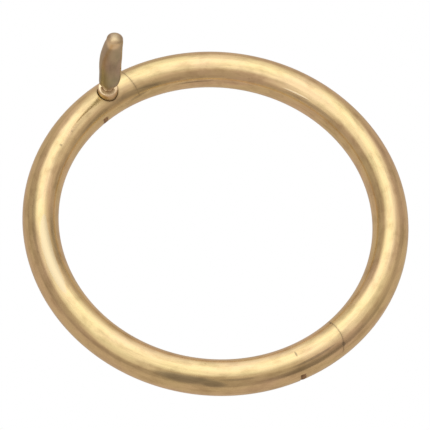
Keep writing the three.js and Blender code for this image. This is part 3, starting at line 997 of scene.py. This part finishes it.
# Light: a plain studio as seen from the ring, a soft dome with a pale floor. A light's azimuth is in degrees
# counter-clockwise from +X. Its level is added in full within core degrees of it and fades out at edge.
DIM_COLOUR = (1.12, 0.91, 0.78)
BRIGHT_COLOUR = (0.98, 0.92, 0.83)
FLOOR_LEVEL = 0.48
HORIZON_LEVEL = 0.38
DOME_LEVEL = 0.42
DOME_RISE = 0.7
WHITE = (1.0, 1.0, 1.0)
SOFT_LIGHTS = [
    {"azimuth": 140, "elevation": 73, "core": 16, "edge": 42, "level": 0.54},
    {"azimuth": 94, "elevation": 52, "core": 12, "edge": 36, "level": 0.38},
    {"azimuth": 92, "elevation": 32, "core": 10, "edge": 32, "level": 0.30},
    {"azimuth": 90, "elevation": 0, "core": 12, "edge": 34, "level": 0.12},
    {"azimuth": 100, "elevation": 20, "core": 6, "edge": 20, "level": 0.08},
    {"azimuth": 116, "elevation": 17, "core": 6, "edge": 20, "level": 0.17},
    {"azimuth": 165, "elevation": 48, "core": 6, "edge": 22, "level": -0.12},
    {"azimuth": -165, "elevation": 64, "core": 8, "edge": 26, "level": 0.23},
    {"azimuth": -130, "elevation": 42, "core": 8, "edge": 22, "level": 0.36},
    {"azimuth": 30, "elevation": 52, "core": 8, "edge": 30, "level": 0.20},
    {"azimuth": -5, "elevation": 68, "core": 8, "edge": 32, "level": 0.24},
    {"azimuth": -90, "elevation": 72, "core": 8, "edge": 26, "level": 0.07},
    {"azimuth": -38, "elevation": 14, "core": 6, "edge": 22, "level": -0.17},
    {"azimuth": -12, "elevation": 13, "core": 6, "edge": 22, "level": -0.08},
    {"azimuth": 4, "elevation": 34, "core": 8, "edge": 24, "level": 0.07},
]


def aimed(azimuth, elevation):
    azimuth, elevation = math.radians(azimuth), math.radians(elevation)
    flat = math.cos(elevation)
    return (flat * math.cos(azimuth), flat * math.sin(azimuth), math.sin(elevation))


def white_to_camera(nodes, shader, shown, kind):
    """The surroundings are plain white to the camera, and as lit to everything that reflects them."""
    plain = nodes.add(kind)
    plain.inputs["Color"].default_value = opaque(WHITE)
    sight = nodes.add("ShaderNodeLightPath").outputs["Is Camera Ray"]
    blend = nodes.add("ShaderNodeMixShader")
    nodes.link(sight, blend.inputs[0])
    nodes.link(shader.outputs[0], blend.inputs[1])
    nodes.link(plain.outputs[0], blend.inputs[2])
    output = nodes.add(shown)
    nodes.link(blend.outputs[0], output.inputs["Surface"])


def soft_dome():
    world = bpy.data.worlds.new("soft_dome")
    world.use_nodes = True
    bpy.context.scene.world = world
    nodes = Nodes(world.node_tree)
    direction = nodes.add("ShaderNodeTexCoord").outputs["Generated"]
    total = nodes.smooth_step(nodes.split(direction)["Z"], 0.0, DOME_RISE, DOME_LEVEL - HORIZON_LEVEL)
    total = nodes.math("ADD", total, HORIZON_LEVEL)
    for light in SOFT_LIGHTS:
        dot = nodes.add("ShaderNodeVectorMath", operation="DOT_PRODUCT")
        nodes.link(direction, dot.inputs[0])
        dot.inputs[1].default_value = aimed(light["azimuth"], light["elevation"])
        low, high = (math.cos(math.radians(light[key])) for key in ("edge", "core"))
        lobe = nodes.smooth_step(dot.outputs["Value"], low, high, light["level"])
        total = nodes.math("ADD", total, lobe)
    background = nodes.add("ShaderNodeBackground")
    nodes.link(total, background.inputs["Strength"])
    brightness = nodes.smooth_step(total, DOME_LEVEL, 1.0)
    colour = nodes.mix(brightness, opaque(DIM_COLOUR), opaque(BRIGHT_COLOUR))
    nodes.link(colour, background.inputs["Color"])
    white_to_camera(nodes, background, "ShaderNodeOutputWorld", "ShaderNodeBackground")


# The floor's half width in metres, and how far it lies below the ring in millimetres
FLOOR_REACH = 12.0
FLOOR_DROP = 0.02


def floor():
    mesh = bpy.data.meshes.new("floor")
    corners = [(-1, -1), (1, -1), (1, 1), (-1, 1)]
    points = [(x * FLOOR_REACH, y * FLOOR_REACH, -FLOOR_DROP * MM) for x, y in corners]
    mesh.from_pydata(points, [], [(0, 1, 2, 3)])
    material, nodes = material_nodes("pale_floor")
    glow = nodes.add("ShaderNodeEmission")
    glow.inputs["Color"].default_value = opaque(DIM_COLOUR)
    glow.inputs["Strength"].default_value = FLOOR_LEVEL
    white_to_camera(nodes, glow, "ShaderNodeOutputMaterial", "ShaderNodeEmission")
    mesh.materials.append(material)
    make_object("floor", mesh)


def camera():
    data = bpy.data.cameras.new("camera")
    data.sensor_width = SENSOR_WIDTH
    data.lens = CAMERA_FOCAL / IMAGE_SIZE * SENSOR_WIDTH
    data.shift_x = (IMAGE_SIZE / 2 - RING_CENTRE_PIXEL[0]) / IMAGE_SIZE
    data.shift_y = (RING_CENTRE_PIXEL[1] - IMAGE_SIZE / 2) / IMAGE_SIZE
    data.clip_end = CAMERA_CLIP_END
    eye = bpy.data.objects.new("camera", data)
    bpy.context.scene.collection.objects.link(eye)
    back = Vector((0, -math.cos(CAMERA_ELEVATION), math.sin(CAMERA_ELEVATION)))
    up = Vector((0, math.sin(CAMERA_ELEVATION), math.cos(CAMERA_ELEVATION)))
    right = Vector((1, 0, 0))
    cosine, sine = math.cos(CAMERA_ROLL), math.sin(CAMERA_ROLL)
    rolled_right = cosine * right - sine * up
    rolled_up = sine * right + cosine * up
    target = Vector((0, 0, BAR_RADIUS * MM))
    turn = Matrix((rolled_right, rolled_up, back)).transposed()
    eye.matrix_world = Matrix.Translation(target + back * CAMERA_DISTANCE * MM) @ turn.to_4x4()
    bpy.context.scene.camera = eye


# Assembly

camera()
floor()
soft_dome()
bpy.context.scene.view_settings.view_transform = "Standard"

brass, tarnish, cast = polished_brass(), tarnished_brass(), cast_brass()
left, right, rivet, screw = left_half(), right_half(), hinge_rivet(), break_off_screw()
store_bar_coordinates(rivet, RIGHT_HALF_START)
store_bar_coordinates(screw, RIGHT_HALF_START)
store_screw_grime_and_shade(screw)

for piece, materials, body, node, slot in (
    (left, (brass, tarnish), "left_side", "left_half", "polished_brass"),
    (right, (brass, tarnish), "right_side", "right_half", "polished_brass"),
    (rivet, (brass,), "left_side", "hinge_pin", "rivet_brass"),
    (screw, (brass, cast), "screw", "break_off_screw", "cast_brass"),
):
    set_materials(piece, materials)
    shade(piece)
    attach(piece, body)
    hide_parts(node)
